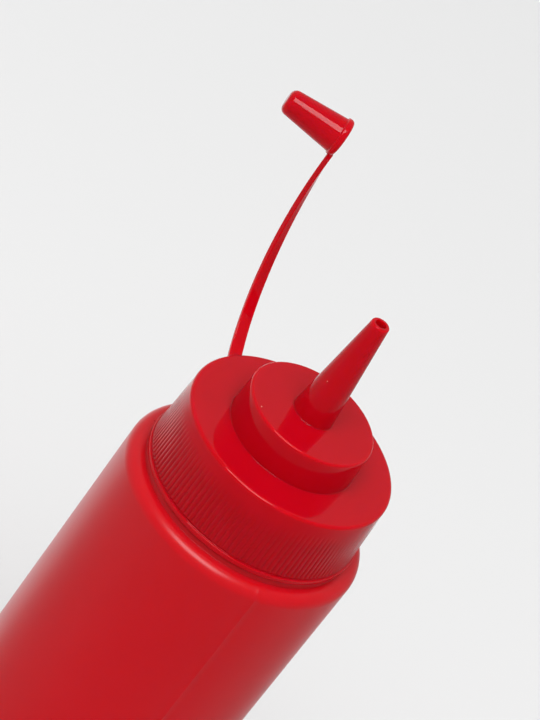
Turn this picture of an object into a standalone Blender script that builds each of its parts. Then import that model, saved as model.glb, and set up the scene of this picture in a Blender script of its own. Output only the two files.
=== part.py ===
"""Squeeze bottle with a ribbed screw cap, a cone nozzle, a tether strap and a tip cap.

Metres, +Z up, the bottle standing on its base with its axis on Z. Two pieces: the blow-moulded
bottle, and the moulded cap, which carries the nozzle, the strap and the tip cap in one piece.
"""
from math import cos, pi, radians, sin

import bmesh
import bpy
from mathutils import Vector

MM = 0.001
OBJECT_NAME = "squeeze_bottle"

# Bottle, in millimetres.
SHOULDER_HEIGHT = 180.0
SHOULDER_RADIUS = 35.35
SHOULDER_ROUND = 3.2
FOOT_RADIUS = 35.6
FOOT_ROUND = 5.0
NECK_RADIUS = 28.3
RING_RADIUS = 30.3
RING_HEIGHT = 1.6
NECK_BEVEL = 0.8

# Screw cap: heights are measured from the plane of its top.
CAP_TOP = SHOULDER_HEIGHT + 22.9
RIM_RADIUS = 30.1
RIM_ROUND = 0.65
SKIRT_FOOT_RADIUS = 31.0
SKIRT_FOOT = -18.3
RECESS_RADIUS = 30.6
RECESS_TOP = -18.5
LIP_RADIUS = 31.45
LIP_TOP = -19.55
LIP_BOTTOM = -21.0
LIP_ROUND = 0.25
TOP_PLATE = 2.0
MOULD_GAP = 0.3
SOCKET_RADIUS = NECK_RADIUS + MOULD_GAP

# Ribs round the skirt: grooves of one depth in a tapered skirt, so they fade out near the rim.
RIB_COUNT = 132
GROOVE_RADIUS = 30.25
RIB_CREST_RADIUS = 31.2
RIB_TOP = -1.2
GROOVE_CUTTER_RADIUS = 34.0

# Raised disc and nozzle on the cap.
DISC_RADIUS = 18.2
DISC_FOOT_RADIUS = 18.7
DISC_HEIGHT = 10.2
DISC_ROUND = 0.45
DISC_FILLET = 0.4
NOZZLE_BASE_RADIUS = 5.9
NOZZLE_TIP_RADIUS = 2.54
NOZZLE_HEIGHT = 43.5
NOZZLE_ROUND = 0.5
NOZZLE_FILLET = 0.5
ORIFICE_RADIUS = 1.55
BORE_BASE_RADIUS = 4.6

# Tip cap: a cup on its side, its mouth towards +X and a little down.
TIP_MOUTH = Vector((-31.37, 31.7, 64.67))
TIP_PITCH = radians(2.9)
TIP_LENGTH = 17.8
TIP_CLOSED_RADIUS = 3.42
TIP_CLOSED_ROUND = 1.9
TIP_ROUND_END = 8.0
TIP_OPEN_RADIUS = 4.96
TIP_LIP_RADIUS = 5.41
TIP_LIP_LENGTH = 1.9
TIP_LIP_ROUND = 0.3
TIP_HOLLOW_MOUTH_RADIUS = 4.1
TIP_HOLLOW_END_RADIUS = 2.55
TIP_END_WALL = 1.3

# Tether strap: it leaves the back left of the rim lying flat, bends up behind the cap, and turns
# a quarter round as it rises to the tip cap's lip. The turns are in plan, from +X towards +Y.
STRAP_ROOT = Vector((-22.6, 19.7, -1.0))
STRAP_LOW_HANDLE = Vector((-26.92, 39.91, 5.68))
STRAP_HIGH_HANDLE = Vector((-31.36, 37.8, 33.99))
STRAP_END = Vector((-32.1, 30.25, 59.95))
STRAP_TAIL = 2.5
STRAP_SUNK = 0.5
STRAP_ROOT_WIDTH = 3.65
STRAP_END_WIDTH = 1.95
STRAP_THICKNESS = 1.5
STRAP_CORNER = 0.3
STRAP_ROOT_TURN = radians(5.0)
STRAP_END_TURN = radians(90.0)
STRAP_TURN_POWER = 1.45
STRAP_STATIONS = 24

# Smoothness of the round pieces.
BODY_STEPS = 72
TIP_STEPS = 32
ROUND_STEPS = 2
EDGE_STEPS = 6
MERGE = 0.000001


def clear_scene():
    for old in list(bpy.data.objects):
        bpy.data.objects.remove(old)


def make_collection(name):
    collection = bpy.data.collections.new(name)
    bpy.context.scene.collection.children.link(collection)
    return collection


def plastic(name, colour, roughness):
    material = bpy.data.materials.new(name)
    material.use_nodes = True
    material.diffuse_color = (*colour, 1.0)
    shader = material.node_tree.nodes["Principled BSDF"]
    shader.inputs["Base Color"].default_value = (*colour, 1.0)
    shader.inputs["Roughness"].default_value = roughness
    shader.inputs["Metallic"].default_value = 0.0
    return material


def arc(centre, radius, start, end, steps):
    """Points of an arc in the profile plane, angles in degrees from +X towards +Z."""
    points = []
    for step in range(steps + 1):
        angle = radians(start + (end - start) * step / steps)
        points.append((centre[0] + radius * cos(angle), centre[1] + radius * sin(angle)))
    return points


def add_object(name, mesh, collection):
    item = bpy.data.objects.new(name, mesh)
    collection.objects.link(item)
    return item


def turned(name, profile, steps, collection, ring=False):
    """A solid turned about Z. The profile runs down its outer side; a ring's profile is a loop."""
    mesh = bpy.data.meshes.new(name)
    points = [(radius * MM, 0.0, height * MM) for radius, height in profile]
    edges = [(number, number + 1) for number in range(len(points) - 1)]
    if ring:
        edges.append((len(points) - 1, 0))
    mesh.from_pydata(points, edges, [])
    item = add_object(name, mesh, collection)
    screw = item.modifiers.new("turn", "SCREW")
    screw.axis = "Z"
    screw.steps = steps
    screw.render_steps = steps
    screw.use_merge_vertices = True
    screw.merge_threshold = MERGE
    screw.use_smooth_shade = True
    return item


def bottle_profile():
    """Neck, ring at its foot, flat shoulder with a rounded edge, straight wall and rounded foot."""
    neck_top = CAP_TOP - TOP_PLATE - MOULD_GAP
    shoulder = (SHOULDER_RADIUS - SHOULDER_ROUND, SHOULDER_HEIGHT - SHOULDER_ROUND)
    points = [(0.0, neck_top)]
    points.append((NECK_RADIUS - NECK_BEVEL, neck_top))
    points.append((NECK_RADIUS, neck_top - NECK_BEVEL))
    points.append((NECK_RADIUS, SHOULDER_HEIGHT + RING_HEIGHT))
    points.append((RING_RADIUS, SHOULDER_HEIGHT + RING_HEIGHT))
    points.append((RING_RADIUS, SHOULDER_HEIGHT))
    points += arc(shoulder, SHOULDER_ROUND, 90.0, 0.0, EDGE_STEPS)
    points += arc((FOOT_RADIUS - FOOT_ROUND, FOOT_ROUND), FOOT_ROUND, 0.0, -90.0, EDGE_STEPS)
    points.append((0.0, 0.0))
    return points


def cap_profile():
    """From the orifice down the nozzle, disc, rim, skirt, recess and lip, then up the inside."""
    tip = (NOZZLE_TIP_RADIUS - NOZZLE_ROUND, NOZZLE_HEIGHT - NOZZLE_ROUND)
    disc = (DISC_RADIUS - DISC_ROUND, DISC_HEIGHT - DISC_ROUND)
    rim = (RIM_RADIUS - RIM_ROUND, -RIM_ROUND)
    lip = (LIP_RADIUS - LIP_ROUND, LIP_BOTTOM + LIP_ROUND)
    points = [(ORIFICE_RADIUS, NOZZLE_HEIGHT)]
    points += arc(tip, NOZZLE_ROUND, 90.0, 0.0, ROUND_STEPS)
    points.append((NOZZLE_BASE_RADIUS, DISC_HEIGHT + NOZZLE_FILLET))
    points.append((NOZZLE_BASE_RADIUS + NOZZLE_FILLET, DISC_HEIGHT))
    points += arc(disc, DISC_ROUND, 90.0, 0.0, ROUND_STEPS)
    points.append((DISC_FOOT_RADIUS, DISC_FILLET))
    points.append((DISC_FOOT_RADIUS + DISC_FILLET, 0.0))
    points += arc(rim, RIM_ROUND, 90.0, 0.0, ROUND_STEPS)
    points.append((SKIRT_FOOT_RADIUS, SKIRT_FOOT))
    points.append((RECESS_RADIUS, RECESS_TOP))
    points.append((RECESS_RADIUS, LIP_TOP))
    points.append((LIP_RADIUS - LIP_ROUND, LIP_TOP))
    points.append((LIP_RADIUS, LIP_TOP - LIP_ROUND))
    points += arc(lip, LIP_ROUND, 0.0, -90.0, ROUND_STEPS)
    points.append((SOCKET_RADIUS, LIP_BOTTOM))
    points.append((SOCKET_RADIUS, -TOP_PLATE))
    points.append((BORE_BASE_RADIUS, -TOP_PLATE))
    return [(radius, height + CAP_TOP) for radius, height in points]


def tip_cap_profile():
    """The closed end is at the top, the lip and the mouth are at height 0."""
    closed = (TIP_CLOSED_RADIUS - TIP_CLOSED_ROUND, TIP_LENGTH - TIP_CLOSED_ROUND)
    lip = TIP_LIP_RADIUS - TIP_LIP_ROUND
    points = [(0.0, TIP_LENGTH)]
    points += arc(closed, TIP_CLOSED_ROUND, 90.0, TIP_ROUND_END, 2 * ROUND_STEPS)
    points.append((TIP_OPEN_RADIUS, TIP_LIP_LENGTH))
    points += arc((lip, TIP_LIP_LENGTH - TIP_LIP_ROUND), TIP_LIP_ROUND, 90.0, 0.0, ROUND_STEPS)
    points += arc((lip, TIP_LIP_ROUND), TIP_LIP_ROUND, 0.0, -90.0, ROUND_STEPS)
    points.append((TIP_HOLLOW_MOUTH_RADIUS, 0.0))
    points.append((TIP_HOLLOW_END_RADIUS, TIP_LENGTH - TIP_END_WALL))
    points.append((0.0, TIP_LENGTH - TIP_END_WALL))
    return points


def curve_loop(curve, points):
    spline = curve.splines.new("POLY")
    spline.points.add(len(points) - 1)
    for target, (x, y) in zip(spline.points, points):
        target.co = (x * MM, y * MM, 0.0, 1.0)
    spline.use_cyclic_u = True


def circle(count, radii):
    """Points round Z, with the radii taken in turn."""
    points = []
    for number in range(count):
        angle = 2.0 * pi * number / count
        radius = radii[number % len(radii)]
        points.append((radius * cos(angle), radius * sin(angle)))
    return points


def groove_cutter(collection):
    """A sleeve with a toothed inside: what it takes off the skirt leaves the ribs."""
    curve = bpy.data.curves.new("groove_outline", "CURVE")
    curve.dimensions = "2D"
    curve.fill_mode = "BOTH"
    curve.extrude = (RIB_TOP - SKIRT_FOOT) / 2.0 * MM
    curve_loop(curve, circle(BODY_STEPS, [GROOVE_CUTTER_RADIUS]))
    curve_loop(curve, circle(2 * RIB_COUNT, [GROOVE_RADIUS, RIB_CREST_RADIUS]))
    outline = add_object("groove_outline", curve, collection)
    outline.location.z = (CAP_TOP + (RIB_TOP + SKIRT_FOOT) / 2.0) * MM
    bpy.context.view_layer.update()
    evaluated = outline.evaluated_get(bpy.context.evaluated_depsgraph_get())
    mesh = bpy.data.meshes.new_from_object(evaluated)
    welded = bmesh.new()
    welded.from_mesh(mesh)
    bmesh.ops.remove_doubles(welded, verts=welded.verts, dist=MERGE)
    bmesh.ops.recalc_face_normals(welded, faces=welded.faces)
    welded.to_mesh(mesh)
    welded.free()
    cutter = add_object("groove_cutter", mesh, collection)
    cutter.matrix_world = outline.matrix_world
    bpy.data.objects.remove(outline)
    return cutter


def strap_course():
    """Centre, tangent and share of the way at each station, from inside the cap to the tip cap."""
    handles = [STRAP_ROOT, STRAP_LOW_HANDLE, STRAP_HIGH_HANDLE, STRAP_END]
    level = ((STRAP_LOW_HANDLE - STRAP_ROOT) * Vector((1.0, 1.0, 0.0))).normalized()
    course = [(STRAP_ROOT - level * STRAP_TAIL, level, 0.0)]
    for station in range(STRAP_STATIONS + 1):
        share = station / STRAP_STATIONS
        rest = 1.0 - share
        weights = (rest**3, 3.0 * rest**2 * share, 3.0 * rest * share**2, share**3)
        centre = sum((handle * weight for handle, weight in zip(handles, weights)), Vector())
        slopes = (rest**2, 2.0 * rest * share, share**2)
        steps = [after - before for before, after in zip(handles, handles[1:])]
        tangent = sum((step * slope for step, slope in zip(steps, slopes)), Vector())
        course.append((centre, tangent.normalized(), share))
    centre, tangent, share = course[-1]
    course.append((centre + tangent * STRAP_SUNK, tangent, share))
    return course


def strap_section(width, thickness):
    """Rounded rectangle, as offsets along the strap's width and through its thickness."""
    points = []
    for corner, (side, face) in enumerate(((1, 1), (-1, 1), (-1, -1), (1, -1))):
        centre = (side * (width / 2.0 - STRAP_CORNER), face * (thickness / 2.0 - STRAP_CORNER))
        points += arc(centre, STRAP_CORNER, 90.0 * corner, 90.0 * corner + 90.0, ROUND_STEPS)
    return points


def strap(collection):
    """A ribbon lofted along its course."""
    shape = bmesh.new()
    rings = []
    for centre, tangent, share in strap_course():
        turn = STRAP_ROOT_TURN + (STRAP_END_TURN - STRAP_ROOT_TURN) * share**STRAP_TURN_POWER
        side = Vector((cos(turn), sin(turn), 0.0))
        side = (side - tangent * side.dot(tangent)).normalized()
        through = tangent.cross(side)
        width = STRAP_ROOT_WIDTH + (STRAP_END_WIDTH - STRAP_ROOT_WIDTH) * share
        ring = []
        for along, out in strap_section(width, STRAP_THICKNESS):
            place = centre + side * along + through * out
            ring.append(shape.verts.new((place.x * MM, place.y * MM, (place.z + CAP_TOP) * MM)))
        rings.append(ring)
    for lower, upper in zip(rings, rings[1:]):
        for number in range(len(lower)):
            after = (number + 1) % len(lower)
            shape.faces.new((lower[number], lower[after], upper[after], upper[number]))
    shape.faces.new(rings[0])
    shape.faces.new(rings[-1])
    bmesh.ops.recalc_face_normals(shape, faces=shape.faces)
    mesh = bpy.data.meshes.new("strap")
    shape.to_mesh(mesh)
    shape.free()
    return add_object("strap", mesh, collection)


def combine(target, tool, operation):
    """Add one Boolean modifier and hide its tool."""
    change = target.modifiers.new(tool.name, "BOOLEAN")
    change.operation = operation
    change.object = tool
    tool.hide_render = True
    tool.display_type = "WIRE"


def make_bottle(parts):
    bottle = turned("bottle", bottle_profile(), BODY_STEPS, parts)
    bottle.data.materials.append(plastic("satin_red", (0.55, 0.006, 0.012), 0.4))
    return bottle


def make_screw_cap(parts, tools):
    cap = turned("screw_cap", cap_profile(), BODY_STEPS, parts, ring=True)
    cap.data.materials.append(plastic("glossy_red", (0.52, 0.004, 0.010), 0.12))
    combine(cap, groove_cutter(tools), "DIFFERENCE")
    combine(cap, strap(tools), "UNION")
    tip = turned("tip_cap_shape", tip_cap_profile(), TIP_STEPS, tools)
    tip.location = (TIP_MOUTH + Vector((0.0, 0.0, CAP_TOP))) * MM
    tip.rotation_euler.y = -(pi / 2.0 - TIP_PITCH)
    combine(cap, tip, "UNION")
    return cap


def main():
    clear_scene()
    parts = make_collection(OBJECT_NAME)
    tools = make_collection("cutters")
    make_bottle(parts)
    make_screw_cap(parts, tools)


main()
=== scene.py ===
"""Squeeze bottle: a satin bottle under a glossy screw cap with a nozzle, a tether strap and a tip cap."""
from math import atan2, ceil, cos, degrees, pi, radians, sin, tan, tau

import bmesh
import bpy
from mathutils import Euler, Matrix, Vector


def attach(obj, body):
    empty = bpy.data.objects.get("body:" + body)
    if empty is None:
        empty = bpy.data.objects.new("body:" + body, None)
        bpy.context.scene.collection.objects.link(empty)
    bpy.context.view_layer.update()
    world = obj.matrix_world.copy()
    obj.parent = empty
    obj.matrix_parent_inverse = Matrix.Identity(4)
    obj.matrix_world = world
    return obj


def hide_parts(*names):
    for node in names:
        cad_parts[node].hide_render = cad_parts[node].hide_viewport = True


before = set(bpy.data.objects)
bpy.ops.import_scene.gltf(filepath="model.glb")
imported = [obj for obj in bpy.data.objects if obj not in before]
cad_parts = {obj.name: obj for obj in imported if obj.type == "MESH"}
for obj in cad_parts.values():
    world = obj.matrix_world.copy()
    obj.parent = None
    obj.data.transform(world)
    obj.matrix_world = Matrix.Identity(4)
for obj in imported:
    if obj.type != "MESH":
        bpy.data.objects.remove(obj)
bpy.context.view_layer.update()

MM = 0.001
# Vertices closer than this, in millimetres, are one.
WELD = 0.0001
# Degrees that one segment of a rounded corner turns, and the coarser step of the finest corners.
CORNER_STEP = 11.0
FINE_CORNER = 0.2
FINE_CORNER_STEP = 23.0
Z_AXIS = Vector((0.0, 0.0, 1.0))

# Bottle, in millimetres.
SHOULDER_HEIGHT = 180.0
SHOULDER_RADIUS = 35.35
SHOULDER_ROUND = 3.2
FOOT_RADIUS = 35.6
FOOT_ROUND = 5.0
NECK_RADIUS = 28.3
NECK_ROUND = 0.8
NECK_FOOT_FILLET = 0.1
RING_RADIUS = 30.7
RING_FOOT_RADIUS = 31.0
RING_HEIGHT = 1.4
RING_ROUND = 0.2
RING_FILLET = 0.1
BOTTLE_STEPS = 240

# Mould seam on the bottle: a fine raised line at two sides.
SEAM_ANGLE = radians(-70.5)
SEAM_HALF_WIDTH = 0.16
SEAM_HEIGHT = 0.09
SEAM_FOOT = 0.5

# Screw cap: heights are measured from the plane of its top.
CAP_TOP = SHOULDER_HEIGHT + 22.9
RIM_RADIUS = 30.1
RIM_ROUND = 0.9
SKIRT_FOOT_RADIUS = 31.0
SKIRT_FOOT = -19.0
SKIRT_FOOT_ROUND = 0.1
SKIRT_ROWS = (-1.0, -2.6, -3.4, -4.2, -5.2, -6.4, -8.0, -10.0, -12.0, -14.0, -16.0, -17.4, -18.3, -18.8)
RECESS_RADIUS = 30.85
RECESS_TOP = -19.1
RECESS_ROUND = 0.2
LIP_RADIUS = 31.45
LIP_TOP = -19.55
LIP_BOTTOM = -21.0
LIP_ROUND = 0.25
TOP_PLATE = 2.0
MOULD_GAP = 0.3
SOCKET_RADIUS = NECK_RADIUS + MOULD_GAP
SOCKET_ROUND = 0.4

# Ribs round the skirt. Each pitch has six columns of faces, and GROOVE_PRESS says how far the seven
# lines between them are pressed in, as shares of the groove's depth.
RIB_COUNT = 132
RIB_COLUMNS = 6
GROOVE_TOP = -3.4
GROOVE_FOOT = -18.9
GROOVE_DEPTH = 0.36
GROOVE_SHARE = 0.5
GROOVE_PRESS = (1.0, 0.5, 0.06, 0.0, 0.06, 0.5, 1.0)

# Raised disc and nozzle.
DISC_RADIUS = 18.2
DISC_FOOT_RADIUS = 18.7
DISC_HEIGHT = 10.2
DISC_ROUND = 0.6
DISC_FILLET = 0.15
NOZZLE_BASE_RADIUS = 5.9
NOZZLE_TIP_RADIUS = 2.54
NOZZLE_HEIGHT = 43.5
NOZZLE_ROUND = 0.5
NOZZLE_FILLET = 0.2
ORIFICE_RADIUS = 1.55
ORIFICE_ROUND = 0.12
BORE_BASE_RADIUS = 4.6
BORE_BASE_ROUND = 0.2
BORE_NECK = 0.6
BORE_NECK_ROUND = 0.3

# Tip cap: a cup on its side, its mouth towards +X and a little down.
TIP_MOUTH = Vector((-31.37, 31.7, 64.67 + CAP_TOP))
TIP_PITCH = radians(2.9)
TIP_LENGTH = 17.8
TIP_CLOSED_RADIUS = 3.42
TIP_CLOSED_ROUND = 1.85
TIP_OPEN_RADIUS = 4.96
TIP_LIP_RADIUS = 5.41
TIP_LIP_LENGTH = 1.9
TIP_LIP_SLOPE = 0.1
TIP_LIP_FILLET = 0.5
TIP_LIP_BACK_ROUND = 0.3
TIP_LIP_ROUND = 1.0
TIP_HOLLOW_MOUTH_RADIUS = 4.1
TIP_HOLLOW_MOUTH_ROUND = 0.2
TIP_HOLLOW_END_RADIUS = 2.55
TIP_HOLLOW_END_ROUND = 0.5
TIP_END_WALL = 1.3
TIP_STEPS = 96

# Tether strap: its middle line is one curve with two handles. It starts inside the top plate and ends
# inside the tip cap, and its wide side turns on the way.
STRAP_ROOT = Vector((-22.6, 19.7, -1.0 + CAP_TOP))
STRAP_LOW_HANDLE = Vector((-26.92, 39.91, 5.68 + CAP_TOP))
STRAP_HIGH_HANDLE = Vector((-31.36, 37.8, 33.99 + CAP_TOP))
STRAP_END = Vector((-32.1, 30.25, 59.95 + CAP_TOP))
STRAP_TAIL = 2.5
STRAP_SUNK = 0.5
STRAP_ROOT_WIDTH = 3.65
STRAP_END_WIDTH = 1.95
STRAP_THICKNESS = 1.5
STRAP_CORNER = 0.3
STRAP_SHARP_ANGLE = 0.7
STRAP_ROOT_TURN = radians(5.0)
STRAP_END_TURN = radians(90.0)
STRAP_TURN_POWER = 1.45
STRAP_STATIONS = 60

# Colours, as linear light. The skirt's painted shade, given below, is (share of the way up the skirt, how
# much colour is left): it darkens the ribbed band to stand in for the light lost in the grooves, and
# darkens the lip beneath it a little.
BOTTLE_RED = (0.60, 0.0044, 0.0115)
BOTTLE_RED_DEEP = (0.58, 0.0038, 0.0105)
CAP_RED = (0.52, 0.0012, 0.0088)
CAP_RED_DEEP = (0.50, 0.0010, 0.0080)
RIB_PAINTED_SHADE = ((0.0, 0.93), (0.05, 0.84), (0.7, 0.86), (1.0, 1.0))
GLOW_DEPTH = (1.0, 0.05, 0.08)
GLOW_SCALE = 0.004
DUST = (0.9, 0.6, 0.55)
FLOOR_WHITE = (0.785, 0.785, 0.785)

# Sockets of a Mix node that mixes colours.
MIX_FIRST, MIX_SECOND, MIX_RESULT = 6, 7, 2

# Studio, in metres. A way is (azimuth, elevation) in degrees. BACKDROP_GLOW is (cosine of the angle to
# the backdrop, brightness), and FILLS are (name, azimuth, elevation, strength, spread in degrees).
FLOOR_RADIUS = 8.0
BEYOND_FLOOR = 0.86
BACKDROP_WAY = (100.0, -32.5)
BACKDROP_GLOW = (
    (-0.35, 0.12), (0.05, 0.20), (0.15, 0.24), (0.43, 0.24), (0.55, 0.27),
    (0.73, 0.37), (0.80, 0.46), (0.88, 0.72), (0.93, 0.86),
)
SOFTBOX_WAY = (-110.0, 66.0)
SOFTBOX_DISTANCE = 1.6
SOFTBOX_SIZE = (1.0, 0.86)
SOFTBOX_BRIGHTNESS = 3.3
FILLS = (
    ("front_fill", -100.0, 62.0, 1.98, 60.0),
    ("left_fill", 180.0, 40.0, 0.45, 90.0),
    ("right_fill", -10.0, 40.0, 0.5, 90.0),
)

# Camera: lens and sensor in millimetres, place in metres, turn in degrees.
CAMERA_LENS = 145.275
CAMERA_SENSOR = 36.0
CAMERA_PLACE = (-0.102444, -0.618053, 0.617124)
CAMERA_TURN = (51.60093, -30.11728, 13.83554)


def wire(shape, corners, closed=False):
    """A turned piece's outline in the XZ plane; each corner is (radius, height, rounding)."""
    verts = [shape.verts.new((radius, 0.0, height)) for radius, height, _ in corners]
    for before, after in zip(verts, verts[1:]):
        shape.edges.new((before, after))
    if closed:
        shape.edges.new((verts[-1], verts[0]))
    for vert, (_, _, rounding) in zip(verts, corners):
        if rounding:
            round_corner(shape, vert, rounding)


def round_corner(shape, corner, rounding):
    """Replaces a corner of the outline with an arc of this radius."""
    first, second = [edge.other_vert(corner).co - corner.co for edge in corner.link_edges]
    opening = first.angle(second)
    step = FINE_CORNER_STEP if rounding <= FINE_CORNER else CORNER_STEP
    bmesh.ops.bevel(
        shape, geom=[corner], offset=rounding / tan(opening / 2.0), offset_type="OFFSET",
        segments=max(2, ceil(degrees(pi - opening) / step)), profile=0.5,
        affect="VERTICES", material=-1,
    )


def hold_flats(shape, reach=0.22, shortest=2.5):
    """Cuts every long straight run close to both ends, so that it stays flat when shaded smooth."""
    for edge in [edge for edge in shape.edges if edge.calc_length() > shortest]:
        ends = list(edge.verts)
        start, end = (vert.co.copy() for vert in ends)
        inset = (end - start).normalized() * reach
        for cut in bmesh.ops.bisect_edges(shape, edges=[edge], cuts=2)["geom_split"]:
            if isinstance(cut, bmesh.types.BMVert) and cut not in ends:
                near_start = (cut.co - start).length < (cut.co - end).length
                cut.co = start + inset if near_start else end - inset


def turn(shape, steps, angle=tau, copies=False):
    """Spins all that is in the mesh about Z, as a surface or as copies side by side."""
    bmesh.ops.spin(
        shape, geom=shape.verts[:] + shape.edges[:] + shape.faces[:], cent=(0.0, 0.0, 0.0),
        axis=Z_AXIS, dvec=(0.0, 0.0, 0.0), angle=angle, steps=steps,
        use_merge=angle == tau, use_duplicate=copies,
    )


def finished(name, shape, material, node):
    """Welds the mesh, turns its faces outwards, brings it to metres and dresses it."""
    bmesh.ops.remove_doubles(shape, verts=shape.verts, dist=WELD)
    bmesh.ops.recalc_face_normals(shape, faces=shape.faces)
    bmesh.ops.scale(shape, vec=(MM, MM, MM), verts=shape.verts)
    for face in shape.faces:
        face.smooth = True
    mesh = bpy.data.meshes.new(name)
    shape.to_mesh(mesh)
    shape.free()
    mesh.materials.append(material)
    piece = bpy.data.objects.new(name, mesh)
    bpy.context.scene.collection.objects.link(piece)
    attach(piece, "root")
    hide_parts(node)


def bottle_corners():
    """Neck and its ring, shoulder, wall and foot, from the axis outwards and down."""
    neck_top = CAP_TOP - TOP_PLATE - MOULD_GAP
    return [
        (0.0, neck_top, 0.0),
        (NECK_RADIUS, neck_top, NECK_ROUND),
        (NECK_RADIUS, SHOULDER_HEIGHT + RING_HEIGHT, NECK_FOOT_FILLET),
        (RING_RADIUS, SHOULDER_HEIGHT + RING_HEIGHT, RING_ROUND),
        (RING_FOOT_RADIUS, SHOULDER_HEIGHT, RING_FILLET),
        (SHOULDER_RADIUS, SHOULDER_HEIGHT, SHOULDER_ROUND),
        (FOOT_RADIUS, 0.0, FOOT_ROUND),
        (0.0, 0.0, 0.0),
    ]


def raise_seam(shape):
    """Draws three neighbouring columns together at each side and lifts the middle one."""
    step = tau / BOTTLE_STEPS
    half = SEAM_HALF_WIDTH / SHOULDER_RADIUS
    innermost = RING_FOOT_RADIUS + RING_FILLET / 2.0
    for vert in shape.verts:
        radius = vert.co.xy.length
        if radius < innermost or vert.co.z < SEAM_FOOT:
            continue
        column = round(atan2(vert.co.y, vert.co.x) / step)
        for side in (0.0, pi):
            middle = round((SEAM_ANGLE + side) / step)
            offset = (column - middle + BOTTLE_STEPS // 2) % BOTTLE_STEPS - BOTTLE_STEPS // 2
            if abs(offset) > 1:
                continue
            angle = middle * step + offset * half
            lift = SEAM_HEIGHT if offset == 0 else 0.0
            vert.co.x = (radius + lift) * cos(angle)
            vert.co.y = (radius + lift) * sin(angle)


def make_bottle():
    shape = bmesh.new()
    wire(shape, bottle_corners())
    hold_flats(shape)
    turn(shape, BOTTLE_STEPS)
    bmesh.ops.remove_doubles(shape, verts=shape.verts, dist=WELD)
    raise_seam(shape)
    finished("bottle_shell", shape, bottle_plastic(), "bottle")


def skirt_radius(height):
    """The skirt widens evenly from the rim's rounding down to its foot."""
    share = (height + RIM_ROUND) / (SKIRT_FOOT + RIM_ROUND)
    return RIM_RADIUS + (SKIRT_FOOT_RADIUS - RIM_RADIUS) * share


def cap_corners():
    """A loop: from the orifice down the outside to the lip, then up the inside and the bore."""
    corners = [
        (ORIFICE_RADIUS, NOZZLE_HEIGHT, ORIFICE_ROUND),
        (NOZZLE_TIP_RADIUS, NOZZLE_HEIGHT, NOZZLE_ROUND),
        (NOZZLE_BASE_RADIUS, DISC_HEIGHT, NOZZLE_FILLET),
        (DISC_RADIUS, DISC_HEIGHT, DISC_ROUND),
        (DISC_FOOT_RADIUS, 0.0, DISC_FILLET),
        (RIM_RADIUS, 0.0, RIM_ROUND),
    ]
    corners += [(skirt_radius(height), height, 0.0) for height in SKIRT_ROWS]
    corners += [
        (SKIRT_FOOT_RADIUS, SKIRT_FOOT, SKIRT_FOOT_ROUND),
        (RECESS_RADIUS, RECESS_TOP, RECESS_ROUND),
        (RECESS_RADIUS, LIP_TOP, RECESS_ROUND),
        (LIP_RADIUS, LIP_TOP, LIP_ROUND),
        (LIP_RADIUS, LIP_BOTTOM, LIP_ROUND),
        (SOCKET_RADIUS, LIP_BOTTOM, SOCKET_ROUND),
        (SOCKET_RADIUS, -TOP_PLATE, 0.0),
        (BORE_BASE_RADIUS, -TOP_PLATE, BORE_BASE_ROUND),
        (ORIFICE_RADIUS, NOZZLE_HEIGHT - BORE_NECK, BORE_NECK_ROUND),
    ]
    return [(radius, height + CAP_TOP, rounding) for radius, height, rounding in corners]


def press_groove(shape):
    """Shapes one pitch of the skirt: half a groove, a rib, half a groove."""
    pitch = tau / RIB_COUNT
    for vert in shape.verts:
        height = vert.co.z - CAP_TOP
        radius = vert.co.xy.length
        if not GROOVE_FOOT < height < GROOVE_TOP or radius < RIM_RADIUS - RIM_ROUND:
            continue
        column = round(atan2(vert.co.y, vert.co.x) / pitch * RIB_COLUMNS)
        swell = (GROOVE_TOP - height) / (GROOVE_TOP - GROOVE_FOOT)
        half = GROOVE_SHARE / 2.0 * swell**0.5
        share = (0.0, half / 2.0, half, 0.5, 1.0 - half, 1.0 - half / 2.0, 1.0)[column]
        press = GROOVE_PRESS[column] * GROOVE_DEPTH * swell
        vert.co.x = (radius - press) * cos(share * pitch)
        vert.co.y = (radius - press) * sin(share * pitch)


def make_screw_cap(plastic_red):
    shape = bmesh.new()
    wire(shape, cap_corners(), closed=True)
    hold_flats(shape)
    turn(shape, RIB_COLUMNS, angle=tau / RIB_COUNT)
    press_groove(shape)
    turn(shape, RIB_COUNT - 1, angle=tau * (RIB_COUNT - 1) / RIB_COUNT, copies=True)
    finished("cap_and_nozzle", shape, plastic_red, "screw_cap")


def make_tip_cap(plastic_red):
    shape = bmesh.new()
    wire(shape, [
        (0.0, TIP_LENGTH, 0.0),
        (TIP_CLOSED_RADIUS, TIP_LENGTH, TIP_CLOSED_ROUND),
        (TIP_OPEN_RADIUS, TIP_LIP_LENGTH, TIP_LIP_FILLET),
        (TIP_LIP_RADIUS, TIP_LIP_LENGTH - TIP_LIP_SLOPE, TIP_LIP_BACK_ROUND),
        (TIP_LIP_RADIUS, 0.0, TIP_LIP_ROUND),
        (TIP_HOLLOW_MOUTH_RADIUS, 0.0, TIP_HOLLOW_MOUTH_ROUND),
        (TIP_HOLLOW_END_RADIUS, TIP_LENGTH - TIP_END_WALL, TIP_HOLLOW_END_ROUND),
        (0.0, TIP_LENGTH - TIP_END_WALL, 0.0),
    ])
    hold_flats(shape)
    turn(shape, TIP_STEPS)
    lay = Matrix.Translation(TIP_MOUTH) @ Matrix.Rotation(TIP_PITCH - pi / 2.0, 4, "Y")
    bmesh.ops.transform(shape, matrix=lay, verts=shape.verts)
    finished("tip_cap", shape, plastic_red, "screw_cap")


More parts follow.
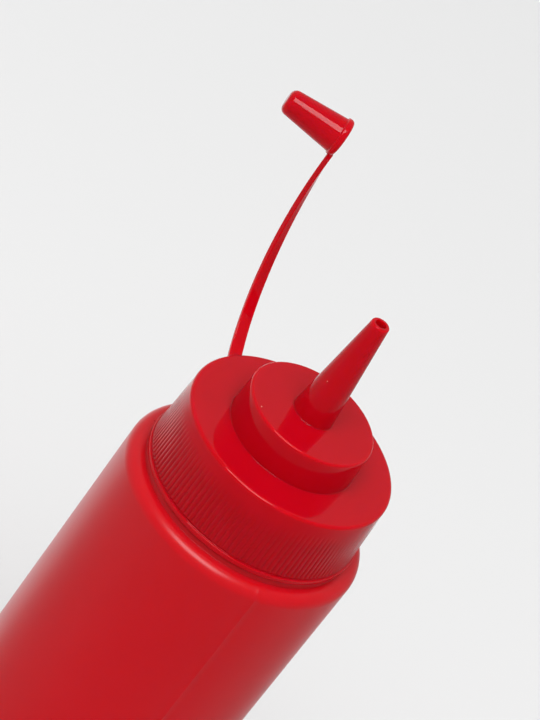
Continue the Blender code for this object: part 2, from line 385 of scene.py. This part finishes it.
def strap_frames():
    """A placing matrix for the strap's section at each station, from inside the cap to the tip cap."""
    handles = [STRAP_ROOT, STRAP_LOW_HANDLE, STRAP_HIGH_HANDLE, STRAP_END]
    steps = [after - before for before, after in zip(handles, handles[1:])]
    level = (steps[0] * Vector((1.0, 1.0, 0.0))).normalized()
    course = [(STRAP_ROOT - level * STRAP_TAIL, level, 0.0)]
    for station in range(STRAP_STATIONS + 1):
        share = station / STRAP_STATIONS
        rest = 1.0 - share
        weights = (rest**3, 3.0 * rest**2 * share, 3.0 * rest * share**2, share**3)
        centre = sum((handle * weight for handle, weight in zip(handles, weights)), Vector())
        slopes = (rest**2, 2.0 * rest * share, share**2)
        tangent = sum((step * slope for step, slope in zip(steps, slopes)), Vector())
        course.append((centre, tangent.normalized(), share))
    centre, tangent, share = course[-1]
    course.append((centre + tangent * STRAP_SUNK, tangent, share))
    frames = []
    for centre, tangent, share in course:
        heading = STRAP_ROOT_TURN + (STRAP_END_TURN - STRAP_ROOT_TURN) * share**STRAP_TURN_POWER
        side = Vector((cos(heading), sin(heading), 0.0))
        side = (side - tangent * side.dot(tangent)).normalized()
        width = STRAP_ROOT_WIDTH + (STRAP_END_WIDTH - STRAP_ROOT_WIDTH) * share
        facing = Matrix((side, tangent, side.cross(tangent))).transposed().to_4x4()
        frames.append(Matrix.Translation(centre) @ facing @ Matrix.Diagonal((width, 1.0, 1.0, 1.0)))
    return frames


def make_strap(plastic_red):
    """Draws the strap's section along its course, then rounds its long edges."""
    shape = bmesh.new()
    half = STRAP_THICKNESS / 2.0
    section = [(-0.5, -half, 0.0), (0.5, -half, 0.0), (0.5, half, 0.0), (-0.5, half, 0.0)]
    wire(shape, section, closed=True)
    end = bmesh.ops.edgeloop_fill(shape, edges=shape.edges)["faces"][0]
    frames = strap_frames()
    bmesh.ops.transform(shape, matrix=frames[0], verts=end.verts)
    for station, (before, after) in enumerate(zip(frames, frames[1:])):
        behind = end
        grown = bmesh.ops.extrude_face_region(shape, geom=[end])["geom"]
        end = next(item for item in grown if isinstance(item, bmesh.types.BMFace))
        bmesh.ops.transform(shape, matrix=after @ before.inverted(), verts=end.verts)
        if station:
            bmesh.ops.delete(shape, geom=[behind], context="FACES_ONLY")
    long_edges = [
        edge for edge in shape.edges
        if edge.is_manifold and edge.calc_face_angle() > STRAP_SHARP_ANGLE
    ]
    rounded = bmesh.ops.bevel(
        shape, geom=long_edges, offset=STRAP_CORNER, offset_type="OFFSET", segments=4,
        profile=0.5, affect="EDGES", material=-1,
    )["faces"]
    for edge in shape.edges:
        edge.smooth = sum(face in rounded for face in edge.link_faces) != 1
    finished("tether_strap", shape, plastic_red, "screw_cap")


def node(tree, kind, inputs=(), **settings):
    """Adds a node, sets its properties, and links or sets its inputs."""
    added = tree.nodes.new(kind)
    for name, value in settings.items():
        setattr(added, name, value)
    for name, value in dict(inputs).items():
        if isinstance(value, bpy.types.NodeSocket):
            tree.links.new(value, added.inputs[name])
        else:
            added.inputs[name].default_value = value
    return added


def plastic(name, base, roughness):
    """A plastic that light sinks a few millimetres into; returns material, node tree and shader."""
    material = bpy.data.materials.new(name)
    material.use_nodes = True
    shader = material.node_tree.nodes["Principled BSDF"]
    shader.inputs["Base Color"].default_value = (*base, 1.0)
    shader.inputs["Roughness"].default_value = roughness
    shader.inputs["Subsurface Weight"].default_value = 1.0
    shader.inputs["Subsurface Radius"].default_value = GLOW_DEPTH
    shader.inputs["Subsurface Scale"].default_value = GLOW_SCALE
    material.diffuse_color = (*base, 1.0)
    return material, material.node_tree, shader


def grey_ramp(tree, share, stops):
    """Greys along a share from 0 to 1; each stop is (position, grey)."""
    ramp = node(tree, "ShaderNodeValToRGB", {"Fac": share})
    elements = ramp.color_ramp.elements
    while len(elements) < len(stops):
        elements.new(0.5)
    for number, (position, grey) in enumerate(stops):
        elements[number].position = position
        elements[number].color = (grey, grey, grey, 1.0)
    return ramp.outputs["Color"]


def mottled(tree, place, base, other, scale):
    """Base colour that drifts slowly between two shades of the same pigment."""
    cloud = node(tree, "ShaderNodeTexNoise", {"Vector": place, "Scale": scale, "Detail": 3.0})
    ramp = node(tree, "ShaderNodeValToRGB", {"Fac": cloud.outputs["Fac"]})
    ramp.color_ramp.elements[0].position = 0.35
    ramp.color_ramp.elements[0].color = (*base, 1.0)
    ramp.color_ramp.elements[1].position = 0.65
    ramp.color_ramp.elements[1].color = (*other, 1.0)
    return ramp.outputs["Color"]


def bottle_plastic():
    """Satin blow-moulded plastic: fine even grain and a slow drift in shade."""
    material, tree, shader = plastic("satin_red_bottle", BOTTLE_RED, 0.29)
    shader.inputs["Specular IOR Level"].default_value = 0.8
    place = node(tree, "ShaderNodeTexCoord").outputs["Object"]
    shade = mottled(tree, place, BOTTLE_RED, BOTTLE_RED_DEEP, 22.0)
    tree.links.new(shade, shader.inputs["Base Color"])
    haze = node(tree, "ShaderNodeTexNoise", {"Vector": place, "Scale": 60.0, "Detail": 4.0})
    rough = node(tree, "ShaderNodeMapRange", {
        "Value": haze.outputs["Fac"], "To Min": 0.25, "To Max": 0.33,
    })
    tree.links.new(rough.outputs["Result"], shader.inputs["Roughness"])
    grain = node(tree, "ShaderNodeTexNoise", {"Vector": place, "Scale": 1400.0, "Detail": 2.0})
    swell = node(tree, "ShaderNodeTexNoise", {"Vector": place, "Scale": 90.0, "Detail": 1.0})
    soft = node(tree, "ShaderNodeBump", {
        "Height": swell.outputs["Fac"], "Strength": 0.3, "Distance": 0.0001,
    })
    fine = node(tree, "ShaderNodeBump", {
        "Height": grain.outputs["Fac"], "Strength": 0.4, "Distance": 0.00002,
        "Normal": soft.outputs["Normal"],
    })
    tree.links.new(fine.outputs["Normal"], shader.inputs["Normal"])
    return material


def cap_plastic():
    """Glossy moulded plastic: faint flow waves, painted shade darkening the ribbed skirt and lip, and a
    few specks of dust.
    """
    material, tree, shader = plastic("glossy_red_cap", CAP_RED, 0.04)
    place = node(tree, "ShaderNodeTexCoord").outputs["Object"]
    shade = mottled(tree, place, CAP_RED, CAP_RED_DEEP, 45.0)
    specks = node(tree, "ShaderNodeTexVoronoi", {"Vector": place, "Scale": 96.0})
    dust = node(tree, "ShaderNodeMapRange", {
        "Value": specks.outputs["Distance"], "From Min": 0.012, "From Max": 0.018,
        "To Min": 1.0, "To Max": 0.0,
    })
    mixed = node(tree, "ShaderNodeMix", data_type="RGBA")
    tree.links.new(dust.outputs["Result"], mixed.inputs["Factor"])
    # Painted shade: the colour is darkened by height up the skirt, standing in for the light lost in the
    # rib grooves.
    height = node(tree, "ShaderNodeSeparateXYZ", {"Vector": place}).outputs["Z"]
    low, high = (CAP_TOP + LIP_TOP) * MM, (CAP_TOP + GROOVE_TOP) * MM
    up_skirt = node(tree, "ShaderNodeMapRange", {"Value": height, "From Min": low, "From Max": high})
    painted_rib_shade = grey_ramp(tree, up_skirt.outputs["Result"], RIB_PAINTED_SHADE)
    colour_with_painted_shade = node(tree, "ShaderNodeVectorMath", {0: shade, 1: painted_rib_shade}, operation="MULTIPLY")
    tree.links.new(colour_with_painted_shade.outputs["Vector"], mixed.inputs[MIX_FIRST])
    mixed.inputs[MIX_SECOND].default_value = (*DUST, 1.0)
    tree.links.new(mixed.outputs[MIX_RESULT], shader.inputs["Base Color"])
    haze = node(tree, "ShaderNodeTexNoise", {"Vector": place, "Scale": 130.0, "Detail": 4.0})
    rough = node(tree, "ShaderNodeMapRange", {
        "Value": haze.outputs["Fac"], "To Min": 0.025, "To Max": 0.06,
    })
    tree.links.new(rough.outputs["Result"], shader.inputs["Roughness"])
    wave = node(tree, "ShaderNodeTexNoise", {"Vector": place, "Scale": 120.0, "Detail": 1.0})
    flow = node(tree, "ShaderNodeBump", {
        "Height": wave.outputs["Fac"], "Strength": 0.25, "Distance": 0.00004,
    })
    tree.links.new(flow.outputs["Normal"], shader.inputs["Normal"])
    return material


def make_floor():
    shape = bmesh.new()
    bmesh.ops.create_circle(shape, cap_ends=True, segments=64, radius=FLOOR_RADIUS)
    mesh = bpy.data.meshes.new("floor")
    shape.to_mesh(mesh)
    shape.free()
    material = bpy.data.materials.new("pale_floor")
    material.use_nodes = True
    shader = material.node_tree.nodes["Principled BSDF"]
    shader.inputs["Base Color"].default_value = (*FLOOR_WHITE, 1.0)
    shader.inputs["Roughness"].default_value = 1.0
    shader.inputs["Specular IOR Level"].default_value = 0.0
    mesh.materials.append(material)
    floor = bpy.data.objects.new("floor", mesh)
    bpy.context.scene.collection.objects.link(floor)
    floor.visible_glossy = False


def direction(azimuth, elevation):
    """Unit vector towards a compass angle and a height angle, in degrees."""
    turned, raised = radians(azimuth), radians(elevation)
    return Vector((cos(raised) * cos(turned), cos(raised) * sin(turned), sin(raised)))


def make_sun(name, azimuth, elevation, strength, spread):
    """A wide soft fill that leaves no reflection of itself."""
    light = bpy.data.lights.new(name, "SUN")
    light.energy = strength
    light.angle = radians(spread)
    lamp = bpy.data.objects.new(name, light)
    lamp.rotation_euler = direction(azimuth, elevation).to_track_quat("Z", "Y").to_euler()
    lamp.visible_glossy = False
    bpy.context.scene.collection.objects.link(lamp)


def make_softbox():
    """A rectangular softbox aimed at the cap; its brightness is its own luminance."""
    light = bpy.data.lights.new("softbox", "AREA")
    light.shape = "RECTANGLE"
    light.size, light.size_y = SOFTBOX_SIZE
    light.energy = SOFTBOX_BRIGHTNESS * pi * SOFTBOX_SIZE[0] * SOFTBOX_SIZE[1]
    lamp = bpy.data.objects.new("softbox", light)
    away = direction(*SOFTBOX_WAY)
    lamp.location = away * SOFTBOX_DISTANCE + Vector((0.0, 0.0, CAP_TOP * MM))
    across = Z_AXIS.cross(away).normalized()
    lamp.rotation_euler = Matrix((across, away.cross(across), away)).transposed().to_euler()
    bpy.context.scene.collection.objects.link(lamp)


def make_room():
    """Dim all round, with a bright backdrop low behind the bottle; the camera sees plain grey."""
    world = bpy.data.worlds.new("studio")
    world.use_nodes = True
    bpy.context.scene.world = world
    tree = world.node_tree
    look = node(tree, "ShaderNodeTexCoord").outputs["Generated"]
    toward = node(tree, "ShaderNodeVectorMath", {0: look}, operation="DOT_PRODUCT")
    toward.inputs[1].default_value = direction(*BACKDROP_WAY)
    place = node(tree, "ShaderNodeMapRange", {"Value": toward.outputs["Value"], "From Min": -1.0})
    stops = [((cosine + 1.0) / 2.0, brightness) for cosine, brightness in BACKDROP_GLOW]
    glow = grey_ramp(tree, place.outputs["Result"], stops)
    seen = node(tree, "ShaderNodeLightPath").outputs["Is Camera Ray"]
    strength = node(tree, "ShaderNodeMix", {"Factor": seen, "A": glow, "B": BEYOND_FLOOR})
    tree.links.new(strength.outputs["Result"], tree.nodes["Background"].inputs["Strength"])
    tree.nodes["Background"].inputs["Color"].default_value = (1.0, 1.0, 1.0, 1.0)


def make_camera():
    lens = bpy.data.cameras.new("camera")
    lens.lens = CAMERA_LENS
    lens.sensor_width = CAMERA_SENSOR
    camera = bpy.data.objects.new("camera", lens)
    camera.location = CAMERA_PLACE
    camera.rotation_euler = Euler([radians(angle) for angle in CAMERA_TURN], "XYZ")
    bpy.context.scene.collection.objects.link(camera)
    bpy.context.scene.camera = camera


make_camera()
make_room()
make_floor()
make_softbox()
for fill in FILLS:
    make_sun(*fill)
glossy_red = cap_plastic()
make_bottle()
make_screw_cap(glossy_red)
make_tip_cap(glossy_red)
make_strap(glossy_red)
bpy.context.scene.view_settings.view_transform = "Standard"
